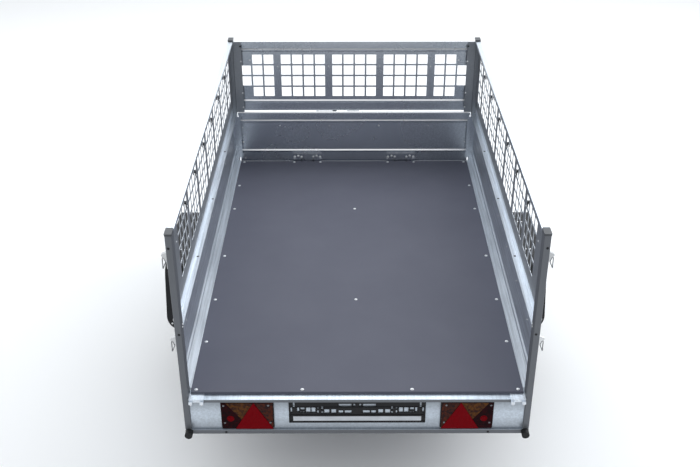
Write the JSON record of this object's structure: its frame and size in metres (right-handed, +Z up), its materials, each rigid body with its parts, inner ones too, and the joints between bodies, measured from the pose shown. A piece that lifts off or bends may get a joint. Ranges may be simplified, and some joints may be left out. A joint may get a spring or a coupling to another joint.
{
  "type": "utility trailer",
  "caption": "Small galvanised utility trailer with mesh side extensions, fold-down front board, open rear, V-shaped drawbar, ball coupling and jockey wheel.",
  "frame": {"origin": "on the ground, in the plane of symmetry of the bed, halfway along the whole trailer", "axes": "+X to the right-hand side seen from behind, +Y forward to the drawbar, +Z up"},
  "size_m": [1.676, 3.115, 1.2155],
  "materials": {
    "galvanised": "matt hot-dip galvanised sheet",
    "floor_board": "dark film-faced plywood",
    "black_plastic": "matt black plastic",
    "zinc": "bright zinc plated",
    "red_lens": "gloss red lens",
    "dark_red_lens": "gloss dark red lens",
    "amber_lens": "gloss amber lens",
    "clear_lens": "gloss clear lens",
    "rubber": "black moulded rubber",
    "tyre": "road tyre",
    "wheel_silver": "silver painted steel",
    "hub_iron": "dark painted casting"
  },
  "bodies": {
    "chassis": {"floor_panel": "floor_board", "side_member_right": "galvanised", "side_member_left": "galvanised", "cross_members": "galvanised", "rear_cross_member": "galvanised", "front_cross_member": "galvanised", "rear_post_right": "galvanised", "rear_post_left": "galvanised", "front_post_right": "galvanised", "front_post_left": "galvanised", "low_side_right": "galvanised", "low_side_left": "galvanised", "mesh_side_right": "galvanised", "mesh_side_left": "galvanised", "post_caps": "black_plastic", "front_mesh_board": "galvanised", "front_hinges": "zinc", "board_latches": "zinc", "lamp_bases": "black_plastic", "lamp_reflectors": "red_lens", "clear_lenses": "clear_lens", "amber_lenses": "amber_lens", "red_lenses": "dark_red_lens", "plate_holder": "black_plastic", "rear_buffers": "rubber", "tail_hinges": "galvanised", "axle_beam": "galvanised", "swing_arm_right": "galvanised", "swing_arm_left": "galvanised", "mudguard_right": "black_plastic", "mudguard_left": "black_plastic", "drawbar_beam_right": "galvanised", "drawbar_beam_left": "galvanised", "coupling_head": "zinc", "jockey_tube": "zinc", "jockey_clamp": "galvanised"},
    "front_gate": {"front_board": "galvanised"},
    "wheel_right": {"hub_right": "hub_iron", "rim_right": "wheel_silver", "tyre_right": "tyre"},
    "wheel_left": {"hub_left": "hub_iron", "rim_left": "wheel_silver", "tyre_left": "tyre"},
    "jockey_leg": {"jockey_stem": "zinc"},
    "jockey_castor": {"jockey_fork": "zinc"},
    "jockey_roller": {"jockey_wheel": "rubber"}
  },
  "joints": [
    {"name": "wheel_right_spin", "type": "hinge", "parent": "chassis", "child": "wheel_right", "pos_m": [0.752, -0.4875, 0.274], "axis": [1, 0, 0], "continuous": true},
    {"name": "wheel_left_spin", "type": "hinge", "parent": "chassis", "child": "wheel_left", "pos_m": [-0.752, -0.4875, 0.274], "axis": [1, 0, 0], "continuous": true},
    {"name": "front_board_fold", "type": "hinge", "parent": "chassis", "child": "front_gate", "pos_m": [0, 0.5455, 0.518], "axis": [-1, 0, 0], "range_deg": [0, 90]},
    {"name": "jockey_raise", "type": "slide", "parent": "chassis", "child": "jockey_leg", "axis": [0, 0, 1], "range_m": [0, 0.105]},
    {"name": "jockey_swivel", "type": "hinge", "parent": "jockey_leg", "child": "jockey_castor", "pos_m": [-0.21393, 0.9575, 0.2], "axis": [0, 0, 1], "continuous": true},
    {"name": "jockey_wheel_spin", "type": "hinge", "parent": "jockey_castor", "child": "jockey_roller", "pos_m": [-0.21393, 0.9175, 0.1], "axis": [1, 0, 0], "continuous": true}
  ]
}
